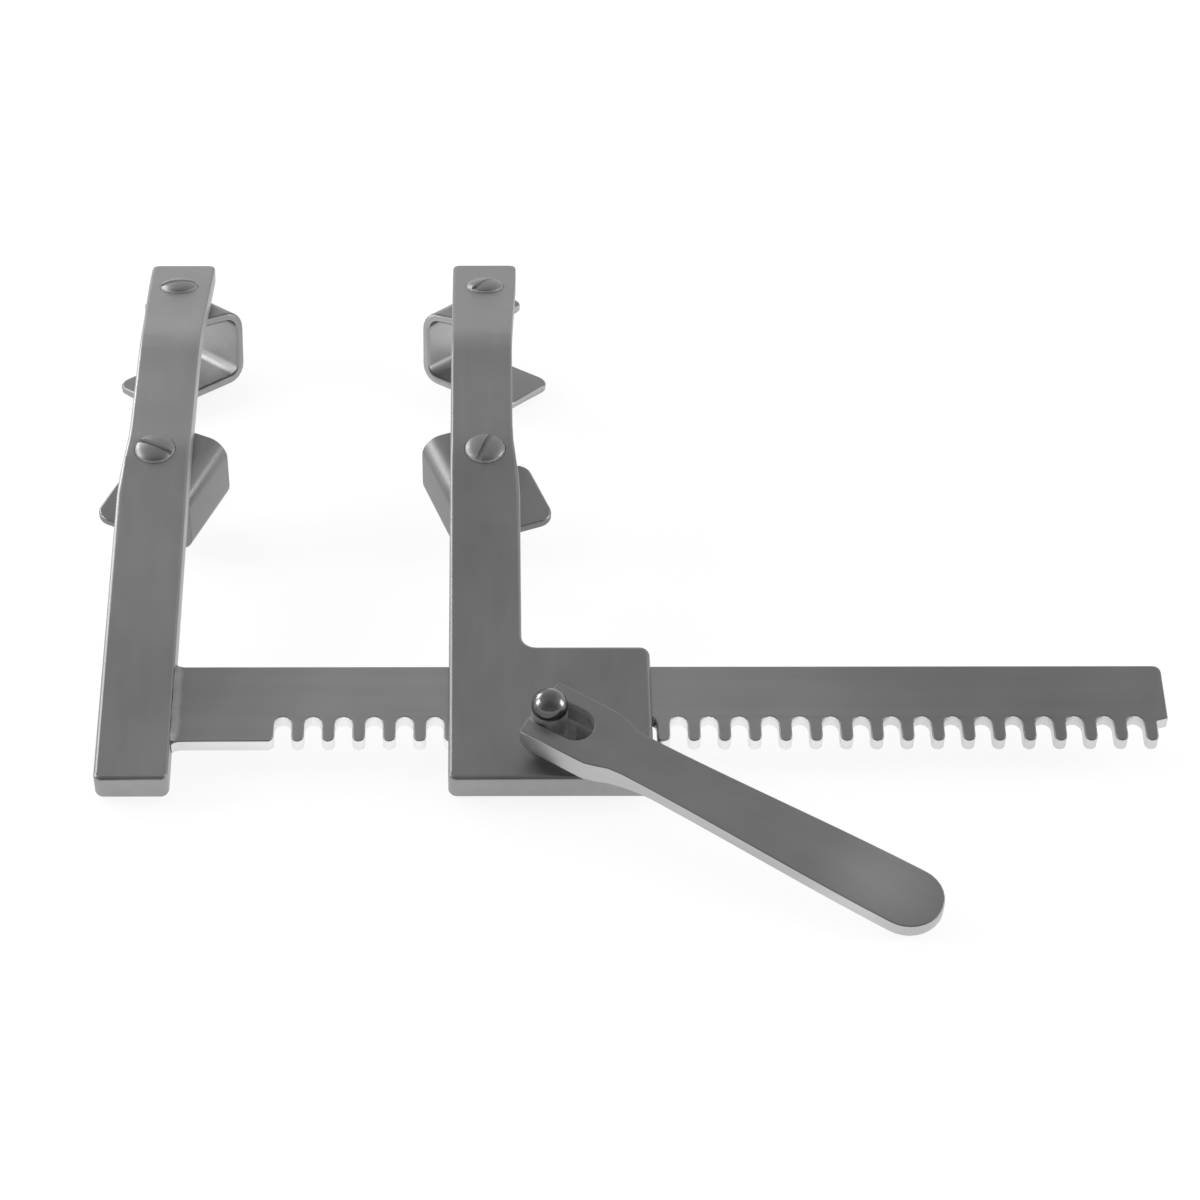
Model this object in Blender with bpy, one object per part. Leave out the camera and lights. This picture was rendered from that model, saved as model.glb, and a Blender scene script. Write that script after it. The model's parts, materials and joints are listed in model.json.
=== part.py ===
"""Sternal spreader with a rack, a folding crank and four swivelling blades.

A fixed arm carries a toothed rack. A moving arm, forged in one with the housing
that rides on the rack, is wound along it by a crank whose two drive pins step
through the gaps between the teeth. Each arm holds two channel-shaped blades on
slotted screws. The whole instrument is modelled flat, with X along the rack,
Y from the front faces to the tips and Z up, and then laid down as it rests on
a table: on the front edge of the arms and on the blades near the tips.
"""
from math import atan2, cos, pi, radians, sin, tan

import bmesh
import bpy
from mathutils import Matrix, Vector

MM = 0.001

# Driving dimensions of the arms
ARM_WIDTH = 15.2 * MM
ARM_THICKNESS = 6.5 * MM
ARM_TIP_THICKNESS = 4.2 * MM
ARM_TAPER_START = 106.0 * MM
ARM_TAPER_END = 150.0 * MM
ARM_WAIST = 1.5 * MM
ARM_TIP_FLARE = 1.3 * MM
ARM_WAIST_START = 77.0 * MM
ARM_WAIST_END = 98.0 * MM
ARM_FLARE_RUN = 55.0 * MM
ARM_FRONT_RUN = 87.5 * MM
ARM_MIDDLE_RUN = 29.7 * MM
ARM_TIP_RUN = 44.7 * MM
ARM_BEND_RADIUS = 40.0 * MM
ARM_FIRST_BEND = radians(9.4)
ARM_SECOND_BEND = radians(17.0)
ARM_CORNER_RADIUS = 1.7 * MM
ARM_EDGE_RADIUS = 0.8 * MM
ARM_GAP = 57.1 * MM

# Driving dimensions of the rack
TOOTH_MODULE = 2.0 * MM
TOOTH_GAP = 3.6 * MM
TOOTH_DEPTH = 6.4 * MM
GAP_COUNT = 29
RACK_THICKNESS = 3.3 * MM
RACK_DEPTH = 19.6 * MM
RACK_FRONT = 10.8 * MM
RACK_PLAIN_RUN = 22.9 * MM
RACK_TENON = 12.0 * MM
RACK_END_STEP = 2.4 * MM
RACK_LEDGE_START = 5.1 * MM
RACK_LEDGE_END = 5.8 * MM
RACK_END_CORNER = 1.6 * MM
RACK_EDGE_RADIUS = 0.25 * MM
BRAZE_RISE = 0.8 * MM
BRAZE_RUN = 1.6 * MM

# Driving dimensions of the rack housing
HOUSING_LENGTH = 42.0 * MM
HOUSING_DEPTH = 34.5 * MM
HOUSING_CORNER_RADIUS = 2.1 * MM
HOUSING_FILLET = 3.1 * MM

# Driving dimensions of the crank
CRANK_FROM_INNER_EDGE = 20.7 * MM
CRANK_AXIS_PAST_TIPS = 0.4 * MM
DRIVE_PIN_DIAMETER = 2.5 * MM
DRIVE_PIN_CIRCLE_RADIUS = 2.83 * MM
JOURNAL_DIAMETER = 9.4 * MM
COLLAR_DIAMETER = 11.2 * MM
COLLAR_THICKNESS = 0.8 * MM
KEEPER_THICKNESS = 0.7 * MM
POST_DIAMETER = 7.5 * MM
POST_HEIGHT = 13.4 * MM
POST_DOME = 3.75 * MM
PIN_SOCKET_DEPTH = 1.9 * MM

# Driving dimensions of the folding handle
HANDLE_TOP = 8.0 * MM
HANDLE_REACH = 83.2 * MM
HANDLE_HEAD_THICKNESS = 5.5 * MM
HANDLE_GRIP_THICKNESS = 3.3 * MM
HANDLE_HEAD_WIDTH = 14.9 * MM
HANDLE_NECK_WIDTH = 11.1 * MM
HANDLE_END_WIDTH = 14.4 * MM
HANDLE_HEAD_BACK = 2.6 * MM
HANDLE_HEAD_RUN = 11.8 * MM
HANDLE_NECK_RUN = 19.5 * MM
HANDLE_RAMP_START = 14.5 * MM
HANDLE_RAMP_END = 28.0 * MM
HANDLE_EAR_RADIUS = 3.0 * MM
HANDLE_EDGE_RADIUS = 0.7 * MM
HANDLE_ANGLE = radians(-33.3)
FORK_SLOT_WIDTH = 8.0 * MM
FORK_SLOT_END = 10.1 * MM
HINGE_PIN_DIAMETER = 3.0 * MM
HINGE_PIN_BELOW_TOP = 2.0 * MM

# Driving dimensions of the blades
BLADE_SHEET = 2.0 * MM
BLADE_LENGTH = 19.2 * MM
BLADE_HEIGHT = 17.8 * MM
BLADE_TOP_DEPTH = 16.7 * MM
BLADE_BOTTOM_DEPTH = 24.9 * MM
BLADE_BEND_RADIUS = 4.5 * MM
BLADE_CORNER_RADIUS = 3.5 * MM
BLADE_EDGE_RADIUS = 0.4 * MM
NEAR_HOLE_FROM_WEB = 9.3 * MM
NEAR_HOLE_OFF_MIDDLE = 6.0 * MM
NEAR_BLADE_FLARE = 0.0
FAR_HOLE_FROM_WEB = 12.1 * MM
FAR_HOLE_OFF_MIDDLE = 0.9 * MM
FAR_BLADE_FLARE = radians(8.5)

# Driving dimensions of the blade screws
SCREW_HEAD_DIAMETER = 8.8 * MM
SCREW_HEAD_SEAT = 1.2 * MM
SCREW_HEAD_DOME = 1.5 * MM
SCREW_SHANK_DIAMETER = 4.0 * MM
SCREW_SLOT_WIDTH = 1.3 * MM
SCREW_SLOT_DEPTH = 1.2 * MM
WASHER_DIAMETER = 8.0 * MM
WASHER_THICKNESS = 1.5 * MM
SPOT_FACE_DIAMETER = 9.0 * MM
SPOT_FACE_DEPTH = 0.1 * MM
NUT_DIAMETER = 7.0 * MM
NUT_THICKNESS = 2.0 * MM
NEAR_SCREW_RUN = 90.0 * MM
FAR_SCREW_FROM_TIP = 15.5 * MM

# Clearances between neighbouring pieces
RUNNING_GAP = 0.15 * MM
SLIDING_GAP = 0.3 * MM
PIN_GAP = 0.1 * MM

# How the blades are turned in the photograph, seen from above, and the turn of each slot
BLADE_TURNS = {
    "fixed_near": radians(-24.2),
    "fixed_far": radians(38.0),
    "moving_near": radians(20.6),
    "moving_far": radians(-34.0),
}
SLOT_TURNS = {
    "fixed_near": radians(-28.0),
    "fixed_far": radians(12.0),
    "moving_near": radians(71.0),
    "moving_far": radians(50.0),
}

# Point of the fixed arm's underside that is the model's origin
ORIGIN_RUN = 20.0 * MM

# Places that follow from the sizes above
TOOTH_PITCH = pi * TOOTH_MODULE
FIXED_INNER_EDGE = ARM_WIDTH
MOVING_INNER_EDGE = FIXED_INNER_EDGE + ARM_GAP
HOUSING_END = MOVING_INNER_EDGE + HOUSING_LENGTH
RACK_BOTTOM = (ARM_THICKNESS - RACK_THICKNESS) / 2
RACK_TOP = RACK_BOTTOM + RACK_THICKNESS
FIRST_GAP = FIXED_INNER_EDGE + RACK_PLAIN_RUN
LAST_GAP = FIRST_GAP + (GAP_COUNT - 1) * TOOTH_PITCH
TOOTH_WIDTH = TOOTH_PITCH - TOOTH_GAP
CRANK_X = MOVING_INNER_EDGE + CRANK_FROM_INNER_EDGE
CRANK_Y = RACK_FRONT + CRANK_AXIS_PAST_TIPS
HANDLE_TOP_LEVEL = ARM_THICKNESS + HANDLE_TOP
HANDLE_PIN_LEVEL = HANDLE_TOP_LEVEL - HINGE_PIN_BELOW_TOP
ARM_PATH = (
    (ARM_FRONT_RUN, 0.0),
    (ARM_BEND_RADIUS * ARM_FIRST_BEND, -ARM_FIRST_BEND),
    (ARM_MIDDLE_RUN, 0.0),
    (ARM_BEND_RADIUS * ARM_SECOND_BEND, -ARM_SECOND_BEND),
    (ARM_TIP_RUN, 0.0),
)
ARM_RUN = sum(piece[0] for piece in ARM_PATH)

CIRCLE_SIDES = 32
SCREW_SIDES = 24
SMALL_CIRCLE_SIDES = 20
POST_DOME_STEPS = 7
SCREW_DOME_STEPS = 4
ARM_EDGE_STEPS = 18
TIP_STEPS = 3
ROOT_STEPS = 6
HANDLE_SIDE_STEPS = 16
HANDLE_END_STEPS = 16
HANDLE_RAMP_STEPS = 6
FORK_END_STEPS = 12
ARM_BEND_STEP = radians(4.0)
BLADE_BEND_STEP = radians(15.0)
MERGE_DISTANCE = 0.0001 * MM
SHARP_ANGLE = radians(35.0)


def clear_scene():
    """Remove whatever the scene holds."""
    for old in list(bpy.data.objects):
        bpy.data.objects.remove(old, do_unlink=True)


def steel(name, grey, roughness):
    """Return a stainless steel material."""
    material = bpy.data.materials.new(name)
    material.use_nodes = True
    shader = material.node_tree.nodes["Principled BSDF"]
    shader.inputs["Base Color"].default_value = (grey, grey, grey * 1.01, 1.0)
    shader.inputs["Metallic"].default_value = 1.0
    shader.inputs["Roughness"].default_value = roughness
    return material


def add_empty(name, parent=None, matrix=None):
    """Add an empty whose matrix is given in its parent's frame."""
    empty = bpy.data.objects.new(name, None)
    bpy.context.scene.collection.objects.link(empty)
    empty.parent = parent
    if matrix is not None:
        empty.matrix_local = matrix
    return empty


def add_object(name, bm, parent=None, material=None):
    """Turn a bmesh into an object with outward faces and smooth round sides."""
    bmesh.ops.recalc_face_normals(bm, faces=bm.faces)
    mesh = bpy.data.meshes.new(name)
    bm.to_mesh(mesh)
    bm.free()
    mesh.shade_smooth()
    mesh.set_sharp_from_angle(angle=SHARP_ANGLE)
    if material is not None:
        mesh.materials.append(material)
    obj = bpy.data.objects.new(name, mesh)
    bpy.context.scene.collection.objects.link(obj)
    obj.parent = parent
    return obj


def combine(target, tools, operation):
    """Apply a Boolean of each tool object to the target's mesh, and delete the tools."""
    for tool in tools:
        modifier = target.modifiers.new("shape", "BOOLEAN")
        modifier.operation = operation
        modifier.solver = "EXACT"
        modifier.object = tool
    bpy.context.view_layer.update()
    evaluated = target.evaluated_get(bpy.context.evaluated_depsgraph_get())
    mesh = bpy.data.meshes.new_from_object(evaluated)
    target.modifiers.clear()
    target.data = mesh
    mesh.shade_smooth()
    mesh.set_sharp_from_angle(angle=SHARP_ANGLE)
    for tool in tools:
        bpy.data.objects.remove(tool, do_unlink=True)


def round_edges(obj, radius, segments=2):
    """Round the sharp edges of an object with a bevel."""
    bevel = obj.modifiers.new("rounded edges", "BEVEL")
    bevel.width = radius
    bevel.segments = segments
    bevel.limit_method = "ANGLE"
    bevel.angle_limit = SHARP_ANGLE
    bevel.harden_normals = False


def arc(centre, radius, start, end, steps):
    """Points of an arc, both ends included."""
    return [
        Vector((centre[0] + radius * cos(start + (end - start) * i / steps),
                centre[1] + radius * sin(start + (end - start) * i / steps)))
        for i in range(steps + 1)
    ]


def rounded_outline(corners, steps=6):
    """Closed outline from (x, y, radius) corners, each rounded by its own radius."""
    points = []
    for i, (x, y, radius) in enumerate(corners):
        corner = Vector((x, y))
        if radius <= 0.0:
            points.append(corner)
            continue
        back = (Vector(corners[i - 1][:2]) - corner).normalized()
        ahead = (Vector(corners[(i + 1) % len(corners)][:2]) - corner).normalized()
        half = back.angle(ahead) / 2
        centre = corner + (back + ahead).normalized() * (radius / sin(half))
        first = corner + back * (radius / tan(half)) - centre
        last = corner + ahead * (radius / tan(half)) - centre
        start = atan2(first.y, first.x)
        turn = (atan2(last.y, last.x) - start + pi) % (2 * pi) - pi
        points += arc(centre, radius, start, start + turn, steps)
    return points


def path_frame(path, distance):
    """Place and heading at a distance along a path of (length, turn) pieces."""
    place = Vector((0.0, 0.0))
    heading = 0.0
    left = distance
    for i, (length, turn) in enumerate(path):
        last = i == len(path) - 1
        run = left if last else min(left, length)
        if turn == 0.0:
            place += Vector((cos(heading), sin(heading))) * run
        else:
            radius = length / turn
            ahead = heading + turn * run / length
            place += Vector((sin(ahead) - sin(heading), cos(heading) - cos(ahead))) * radius
            heading = ahead
        left -= run
        if left <= 0.0:
            break
    return place, heading


def bend_stations(path, step):
    """Distances along a path where a blank needs an edge to bend at."""
    stations = []
    start = 0.0
    for length, turn in path:
        if turn != 0.0:
            count = max(2, round(abs(turn) / step))
            stations += [start + length * i / count for i in range(count + 1)]
        start += length
    return stations


def prism(outline, bottom, top):
    """Closed upright solid on an outline."""
    bm = bmesh.new()
    base = bm.faces.new([bm.verts.new((p.x, p.y, bottom)) for p in outline])
    raised = bmesh.ops.extrude_face_region(bm, geom=[base])
    lifted = [item for item in raised["geom"] if isinstance(item, bmesh.types.BMVert)]
    bmesh.ops.translate(bm, verts=lifted, vec=(0.0, 0.0, top - bottom))
    bmesh.ops.recalc_face_normals(bm, faces=bm.faces)
    return bm


def round_rims(bm, radius, segments=2):
    """Round the edges round the top and the bottom of a flat solid."""
    rims = [edge for edge in bm.edges
            if len(edge.link_faces) == 2
            and abs(edge.link_faces[0].normal.z - edge.link_faces[1].normal.z) > 0.5
            and abs(edge.verts[0].co.z - edge.verts[1].co.z) < radius / 10]
    bmesh.ops.bevel(bm, geom=rims, offset=radius, segments=segments, profile=0.5, affect="EDGES")


def bent_plate(outline, thickness, edge_radius, segments, path, stations, share=None):
    """Flat plate with rounded rims, bent along a path that its top face follows.

    The share, where there is one, is a function of the distance along the path
    that thins the plate from below.
    """
    bm = prism(outline, -thickness, 0.0)
    round_rims(bm, edge_radius, segments)
    for station in stations:
        everything = list(bm.verts) + list(bm.edges) + list(bm.faces)
        bmesh.ops.bisect_plane(bm, geom=everything, dist=MERGE_DISTANCE,
                               plane_co=(0.0, station, 0.0), plane_no=(0.0, 1.0, 0.0))
    for vert in bm.verts:
        place, heading = path_frame(path, vert.co.y)
        up = Vector((-sin(heading), cos(heading)))
        depth = vert.co.z if share is None else vert.co.z * share(vert.co.y)
        point = place + up * depth
        vert.co = Vector((vert.co.x, point.x, point.y))
    return bm


def turned(profile, sides=CIRCLE_SIDES):
    """Solid turned about Z from (radius, height) points that start and end on the axis."""
    bm = bmesh.new()
    points = [bm.verts.new((radius, 0.0, height)) for radius, height in profile]
    edges = [bm.edges.new(pair) for pair in zip(points, points[1:])]
    bmesh.ops.spin(bm, geom=points + edges, cent=(0.0, 0.0, 0.0), axis=(0.0, 0.0, 1.0),
                   angle=2 * pi, steps=sides, use_merge=True)
    bmesh.ops.remove_doubles(bm, verts=bm.verts, dist=MERGE_DISTANCE)
    return bm


def rod(radius, bottom, top, sides=CIRCLE_SIDES):
    """Plain round bar along Z."""
    return turned([(0.0, bottom), (radius, bottom), (radius, top), (0.0, top)], sides)


def ring(inner, outer, bottom, top, sides=CIRCLE_SIDES):
    """Flat ring about Z."""
    bm = bmesh.new()
    corners = [(inner, bottom), (outer, bottom), (outer, top), (inner, top)]
    points = [bm.verts.new((radius, 0.0, height)) for radius, height in corners]
    edges = [bm.edges.new((points[i], points[(i + 1) % 4])) for i in range(4)]
    bmesh.ops.spin(bm, geom=points + edges, cent=(0.0, 0.0, 0.0), axis=(0.0, 0.0, 1.0),
                   angle=2 * pi, steps=sides, use_merge=True)
    bmesh.ops.remove_doubles(bm, verts=bm.verts, dist=MERGE_DISTANCE)
    return bm


def box(low, high):
    """Plain block between two corners."""
    outline = [Vector(corner) for corner in
               ((low[0], low[1]), (high[0], low[1]), (high[0], high[1]), (low[0], high[1]))]
    return prism(outline, low[2], high[2])


def smooth_step(value):
    """Ease from 0 to 1."""
    value = min(1.0, max(0.0, value))
    return value * value * (3.0 - 2.0 * value)


def arm_width(run):
    """Width of an arm, which its outer edge sets, at a distance from its front face."""
    waist = smooth_step((run - ARM_WAIST_START) / (ARM_WAIST_END - ARM_WAIST_START))
    flare = smooth_step((run - ARM_RUN + ARM_FLARE_RUN) / ARM_FLARE_RUN)
    return ARM_WIDTH - ARM_WAIST * waist + ARM_TIP_FLARE * flare


def arm_share(run):
    """Share of the full thickness that an arm has at a distance from its front face."""
    along = min(1.0, max(0.0, (run - ARM_TAPER_START) / (ARM_TAPER_END - ARM_TAPER_START)))
    return 1.0 - along * (1.0 - ARM_TIP_THICKNESS / ARM_THICKNESS)


def arm_blank(outline):
    """Arm bent to its path and thinned towards its tip, before it is bored."""
    stations = bend_stations(ARM_PATH, ARM_BEND_STEP) + [ARM_TAPER_START, ARM_TAPER_END]
    bm = bent_plate(outline, ARM_THICKNESS, ARM_EDGE_RADIUS, 2, ARM_PATH, stations, arm_share)
    bmesh.ops.translate(bm, verts=bm.verts, vec=(0.0, 0.0, ARM_THICKNESS))
    return bm


def outer_edge_runs():
    """Distances along the arm where its outer edge has a point, from tip to front."""
    last = ARM_RUN - 2 * ARM_CORNER_RADIUS
    span = last - ARM_WAIST_START
    return [last - span * i / ARM_EDGE_STEPS for i in range(ARM_EDGE_STEPS + 1)]


def screw_places():
    """Frame of each blade screw on its arm's underside, square to the arm, and the thickness there."""
    places = {}
    sides = {
        "fixed": FIXED_INNER_EDGE - ARM_WIDTH / 2,
        "moving": MOVING_INNER_EDGE + ARM_WIDTH / 2,
    }
    runs = {"near": NEAR_SCREW_RUN, "far": ARM_RUN - FAR_SCREW_FROM_TIP}
    for side, x in sides.items():
        for end, run in runs.items():
            thickness = ARM_THICKNESS * arm_share(run)
            point, heading = path_frame(ARM_PATH, run)
            up = Vector((-sin(heading), cos(heading)))
            under = Vector((point.x, point.y + ARM_THICKNESS)) - up * thickness
            frame = Matrix.Translation((x, under.x, under.y)) @ Matrix.Rotation(heading, 4, "X")
            places[side + "_" + end] = (frame, thickness)
    return places


def screw_hole_tools(name, parent, place):
    """Tools that bore an arm for a blade screw, sink its head and face the arm for its washer."""
    frame, thickness = place
    seat_level = thickness - SCREW_HEAD_SEAT
    hole_radius = SCREW_SHANK_DIAMETER / 2 + RUNNING_GAP
    seat_radius = SCREW_HEAD_DIAMETER / 2 + RUNNING_GAP
    bore = rod(hole_radius, -ARM_THICKNESS, 2 * ARM_THICKNESS, SMALL_CIRCLE_SIDES)
    hole = add_object(name + "_bore", bore, parent)
    seat = add_object(name + "_seat", rod(seat_radius, seat_level, 2 * ARM_THICKNESS), parent)
    spot_face = rod(SPOT_FACE_DIAMETER / 2, -ARM_THICKNESS, SPOT_FACE_DEPTH)
    face = add_object(name + "_spot_face", spot_face, parent)
    tools = [hole, seat, face]
    for tool in tools:
        tool.matrix_local = frame
    return tools


def make_fixed_arm(parent, material, places):
    """Plain arm with a socket for the end of the rack."""
    inner = FIXED_INNER_EDGE
    corners = [(inner, 0.0, ARM_CORNER_RADIUS), (inner, ARM_RUN, ARM_CORNER_RADIUS),
               (inner - arm_width(ARM_RUN), ARM_RUN, ARM_CORNER_RADIUS)]
    corners += [(inner - arm_width(run), run, 0.0) for run in outer_edge_runs()]
    corners += [(inner - ARM_WIDTH, 0.0, ARM_CORNER_RADIUS)]
    arm = add_object("fixed_arm", arm_blank(rounded_outline(corners)), parent, material)
    gap = RUNNING_GAP
    socket = box((inner - RACK_TENON - gap, RACK_FRONT - gap, RACK_BOTTOM - gap),
                 (inner + RACK_TENON, RACK_FRONT + RACK_DEPTH + gap, RACK_TOP + gap))
    tools = [add_object("rack_socket", socket, parent)]
    for end in ("near", "far"):
        tools += screw_hole_tools("fixed_" + end, parent, places["fixed_" + end])
    combine(arm, tools, "DIFFERENCE")
    return arm


def make_moving_arm(parent, material, places):
    """Arm in one piece with the housing that rides on the rack."""
    inner = MOVING_INNER_EDGE
    corners = [(inner, ARM_RUN, ARM_CORNER_RADIUS), (inner, 0.0, ARM_CORNER_RADIUS),
               (HOUSING_END, 0.0, HOUSING_CORNER_RADIUS),
               (HOUSING_END, HOUSING_DEPTH, HOUSING_CORNER_RADIUS),
               (inner + ARM_WIDTH, HOUSING_DEPTH, HOUSING_FILLET)]
    corners += [(inner + arm_width(run), run, 0.0) for run in reversed(outer_edge_runs())]
    corners += [(inner + arm_width(ARM_RUN), ARM_RUN, ARM_CORNER_RADIUS)]
    arm = add_object("moving_arm", arm_blank(rounded_outline(corners)), parent, material)
    gap = SLIDING_GAP
    slot = box((inner - HOUSING_LENGTH, RACK_FRONT - gap, RACK_BOTTOM - gap),
               (HOUSING_END + HOUSING_LENGTH, RACK_FRONT + RACK_DEPTH + gap, RACK_TOP + gap))
    bore = rod(JOURNAL_DIAMETER / 2 + RUNNING_GAP, -ARM_THICKNESS, 2 * ARM_THICKNESS)
    tools = [add_object("rack_slot", slot, parent), add_object("crank_bore", bore, parent)]
    tools[1].location = (CRANK_X, CRANK_Y, 0.0)
    for end in ("near", "far"):
        tools += screw_hole_tools("moving_" + end, parent, places["moving_" + end])
    combine(arm, tools, "DIFFERENCE")
    return arm


def braze_bead(edge, outward):
    """Points of the bead where the rack leaves the arm, swept in to one edge of the rack."""
    start = FIXED_INNER_EDGE + RUNNING_GAP
    return [Vector((start, edge)), Vector((start, edge + outward * BRAZE_RISE)),
            Vector((start + BRAZE_RUN / 3, edge + outward * BRAZE_RISE / 3)),
            Vector((start + BRAZE_RUN, edge))]


def rack_outline():
    """Plan of the rack: plain run, gaps with round roots between round-tipped teeth, stepped end."""
    back = RACK_FRONT + RACK_DEPTH
    start = FIXED_INNER_EDGE - RACK_TENON
    points = [Vector((start, back)), Vector((start, RACK_FRONT))]
    points += braze_bead(RACK_FRONT, -1.0)
    tip_radius = TOOTH_WIDTH / 2
    root_radius = TOOTH_GAP / 2
    for i in range(GAP_COUNT):
        centre = FIRST_GAP + i * TOOTH_PITCH
        left_tip = centre - TOOTH_PITCH / 2
        right_tip = centre + TOOTH_PITCH / 2
        tip_level = RACK_FRONT + tip_radius
        root_level = RACK_FRONT + TOOTH_DEPTH - root_radius
        points += arc((left_tip, tip_level), tip_radius, -pi / 2, 0.0, TIP_STEPS)
        points += arc((centre, root_level), root_radius, pi, 0.0, ROOT_STEPS)
        points += arc((right_tip, tip_level), tip_radius, pi, 3 * pi / 2, TIP_STEPS)[:-1]
    end_tip = LAST_GAP + TOOTH_PITCH / 2
    tooth_end = end_tip + tip_radius
    body_end = tooth_end + RACK_END_STEP
    points += arc((end_tip, RACK_FRONT + tip_radius), tip_radius, -pi / 2, 0.0, TIP_STEPS)
    points += [Vector((tooth_end, RACK_FRONT + RACK_LEDGE_START)),
               Vector((body_end, RACK_FRONT + RACK_LEDGE_END))]
    corner = (body_end - RACK_END_CORNER, back - RACK_END_CORNER)
    points += arc(corner, RACK_END_CORNER, 0.0, pi / 2, TIP_STEPS)
    points += reversed(braze_bead(back, 1.0))
    return points


def make_rack(parent, material):
    """Toothed bar brazed into the fixed arm."""
    bm = prism(rack_outline(), RACK_BOTTOM, RACK_TOP)
    round_rims(bm, RACK_EDGE_RADIUS, 1)
    return add_object("rack_bar", bm, parent, material)


def drive_pin_angle():
    """Angle of the first drive pin from the +Y direction, seen from above, clockwise.

    Half a turn of the crank moves it by one pitch, and the pin points straight
    into its gap when the gap's centre is level with the crank's axis.
    """
    gaps_passed = (CRANK_X - FIRST_GAP) / TOOTH_PITCH
    nearest = round(gaps_passed)
    return (nearest - gaps_passed) * pi


def make_crank(parent, post_material, pin_material):
    """Post, its two drive pins and the keeper that the pins are riveted into."""
    journal = JOURNAL_DIAMETER / 2
    collar = COLLAR_DIAMETER / 2
    post = POST_DIAMETER / 2
    journal_bottom = RACK_TOP + RUNNING_GAP
    collar_bottom = ARM_THICKNESS + RUNNING_GAP
    collar_top = collar_bottom + COLLAR_THICKNESS
    post_top = ARM_THICKNESS + POST_HEIGHT
    dome_bottom = post_top - POST_DOME
    profile = [(0.0, journal_bottom), (journal, journal_bottom), (journal, collar_bottom),
               (collar, collar_bottom), (collar, collar_top), (post, collar_top), (post, dome_bottom)]
    for i in range(1, POST_DOME_STEPS):
        angle = pi / 2 * i / POST_DOME_STEPS
        profile.append((post * cos(angle), dome_bottom + POST_DOME * sin(angle)))
    profile.append((0.0, post_top))
    crank_post = add_object("crank_post", turned(profile), parent, post_material)

    keeper_top = RACK_BOTTOM - RUNNING_GAP
    keeper_lip = -RUNNING_GAP
    keeper_bottom = keeper_lip - KEEPER_THICKNESS
    profile = [(0.0, keeper_bottom), (collar, keeper_bottom), (collar, keeper_lip),
               (journal, keeper_lip), (journal, keeper_top), (0.0, keeper_top)]
    keeper = add_object("crank_keeper", turned(profile), parent, pin_material)

    pin_top = journal_bottom + PIN_SOCKET_DEPTH - PIN_GAP
    first = drive_pin_angle()
    tools_post = []
    tools_keeper = []
    for i in range(2):
        angle = first + i * pi
        place = Vector((sin(angle), cos(angle), 0.0)) * DRIVE_PIN_CIRCLE_RADIUS
        pin_shape = rod(DRIVE_PIN_DIAMETER / 2, keeper_bottom, pin_top, SMALL_CIRCLE_SIDES)
        pin = add_object("drive_pin_" + str(i + 1), pin_shape, parent, pin_material)
        pin.location = place
        hole_radius = DRIVE_PIN_DIAMETER / 2 + PIN_GAP
        socket = rod(hole_radius, 0.0, journal_bottom + PIN_SOCKET_DEPTH, SMALL_CIRCLE_SIDES)
        hole = rod(hole_radius, 2 * keeper_bottom, 2 * keeper_top, SMALL_CIRCLE_SIDES)
        tools_post.append(add_object("pin_socket", socket, parent))
        tools_keeper.append(add_object("pin_hole", hole, parent))
        tools_post[-1].location = place
        tools_keeper[-1].location = place
    across = (Matrix.Translation((0.0, 0.0, HANDLE_PIN_LEVEL)) @ Matrix.Rotation(HANDLE_ANGLE, 4, "Z")
              @ Matrix.Rotation(pi / 2, 4, "X"))
    hole_radius = HINGE_PIN_DIAMETER / 2 + PIN_GAP
    cross_hole = rod(hole_radius, -COLLAR_DIAMETER, COLLAR_DIAMETER, SMALL_CIRCLE_SIDES)
    tools_post.append(add_object("cross_hole", cross_hole, parent))
    tools_post[-1].matrix_local = across
    combine(crank_post, tools_post, "DIFFERENCE")
    combine(keeper, tools_keeper, "DIFFERENCE")
    pin_half = HANDLE_HEAD_WIDTH / 2 - HANDLE_EDGE_RADIUS
    hinge_shape = rod(HINGE_PIN_DIAMETER / 2, -pin_half, pin_half, SMALL_CIRCLE_SIDES)
    hinge = add_object("handle_hinge_pin", hinge_shape, parent, pin_material)
    hinge.matrix_local = across


def handle_half_width(run):
    """Half the handle's width at a distance from the crank's axis."""
    head = HANDLE_HEAD_WIDTH / 2
    neck = HANDLE_NECK_WIDTH / 2
    end = HANDLE_END_WIDTH / 2
    if run < HANDLE_NECK_RUN:
        share = (run - HANDLE_HEAD_RUN) / (HANDLE_NECK_RUN - HANDLE_HEAD_RUN)
        return head + (neck - head) * smooth_step(share)
    share = (run - HANDLE_NECK_RUN) / (HANDLE_REACH - HANDLE_NECK_RUN)
    return neck + (end - neck) * smooth_step(share)


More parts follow.
